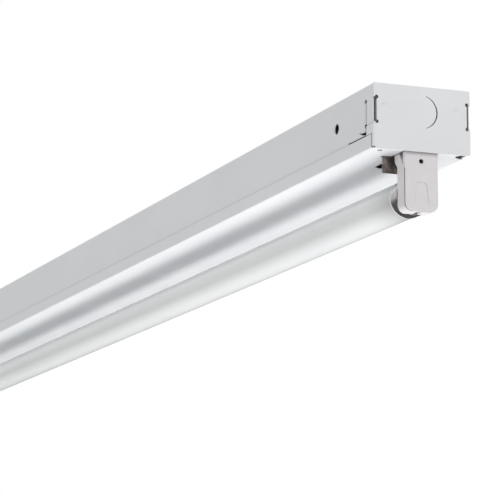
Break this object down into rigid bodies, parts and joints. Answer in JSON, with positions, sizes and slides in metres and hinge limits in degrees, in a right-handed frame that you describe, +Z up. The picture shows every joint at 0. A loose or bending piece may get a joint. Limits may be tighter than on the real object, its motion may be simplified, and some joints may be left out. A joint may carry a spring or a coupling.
{
  "type": "fluorescent strip light",
  "caption": "Ceiling strip light: sheet-metal channel with end plates, clip-on cover, rotary lampholders, straight lamp and ballast.",
  "frame": {"origin": "centre of the channel's top face, which lies against the ceiling", "axes": "+X along the fixture, towards the end shown in the picture, +Z up to the ceiling, -Y towards the side shown"},
  "size_m": [1.2278, 0.0702, 0.0831],
  "materials": {
    "white_enamel": "semi-gloss",
    "bare_steel": "satin",
    "zinc": "satin",
    "holder_plastic": "semi-gloss",
    "rotor_plastic": "semi-gloss",
    "brass": "satin",
    "lamp_glass": "gloss",
    "clear_glass": "gloss",
    "cap_metal": "satin",
    "insulator": "matte",
    "filament_metal": "satin",
    "galvanised": "satin",
    "board": "matte",
    "core": "matte",
    "capacitor_sleeve": "gloss",
    "black_plastic": "matte",
    "insulation_black": "semi-gloss",
    "insulation_white": "semi-gloss",
    "insulation_blue": "semi-gloss",
    "insulation_red": "semi-gloss",
    "insulation_green": "semi-gloss",
    "green_zinc": "satin"
  },
  "bodies": {
    "root": {"channel": "white_enamel", "end_plate_near": "white_enamel", "end_plate_far": "white_enamel", "lampholder_bracket_near": "bare_steel", "lampholder_bracket_far": "bare_steel", "lampholder_body_near": "holder_plastic", "lampholder_body_far": "holder_plastic", "lampholder_back_near": "holder_plastic", "lampholder_back_far": "holder_plastic", "lampholder_screw_near": "zinc", "lampholder_screw_far": "zinc", "lampholder_nut_near": "zinc", "lampholder_nut_far": "zinc", "contacts_near": "brass", "contacts_far": "brass", "ballast_base": "galvanised", "ballast_case": "galvanised", "ballast_board": "board", "ballast_chokes": "core", "ballast_capacitors": "capacitor_sleeve", "ballast_transistors": "black_plastic", "ballast_lead_bushings": "rotor_plastic", "ballast_screws": "zinc", "wire_black": "insulation_black", "wire_white": "insulation_white", "wire_blue": "insulation_blue", "wire_red": "insulation_red", "wire_green": "insulation_green", "ground_screw": "green_zinc"},
    "cover": {"channel_cover": "white_enamel"},
    "lamp": {"glass_tube": "lamp_glass", "lamp_cap_near": "cap_metal", "lamp_cap_far": "cap_metal", "cap_insulator_near": "insulator", "cap_insulator_far": "insulator", "lamp_pins_near": "brass", "lamp_pins_far": "brass", "glass_stem_near": "clear_glass", "glass_stem_far": "clear_glass", "cathode_near": "filament_metal", "cathode_far": "filament_metal"},
    "rotor_near": {"rotor_near": "rotor_plastic"},
    "rotor_far": {"rotor_far": "rotor_plastic"}
  },
  "joints": [
    {"name": "lamp_turn", "type": "hinge", "parent": "root", "child": "lamp", "pos_m": [0, 0, -0.0702], "axis": [1, 0, 0], "range_deg": [0, 90]},
    {"name": "rotor_near_turn", "type": "hinge", "parent": "root", "child": "rotor_near", "pos_m": [0.607, 0, -0.0702], "axis": [1, 0, 0], "range_deg": [0, 90]},
    {"name": "rotor_far_turn", "type": "hinge", "parent": "root", "child": "rotor_far", "pos_m": [-0.607, 0, -0.0702], "axis": [1, 0, 0], "range_deg": [0, 90]},
    {"name": "cover_drop", "type": "slide", "parent": "root", "child": "cover", "axis": [0, 0, -1], "range_m": [0, 0.012]}
  ],
  "couplings": [
    {"joint": "rotor_near_turn", "follows": "lamp_turn", "ratio": 1},
    {"joint": "rotor_far_turn", "follows": "lamp_turn", "ratio": 1}
  ]
}
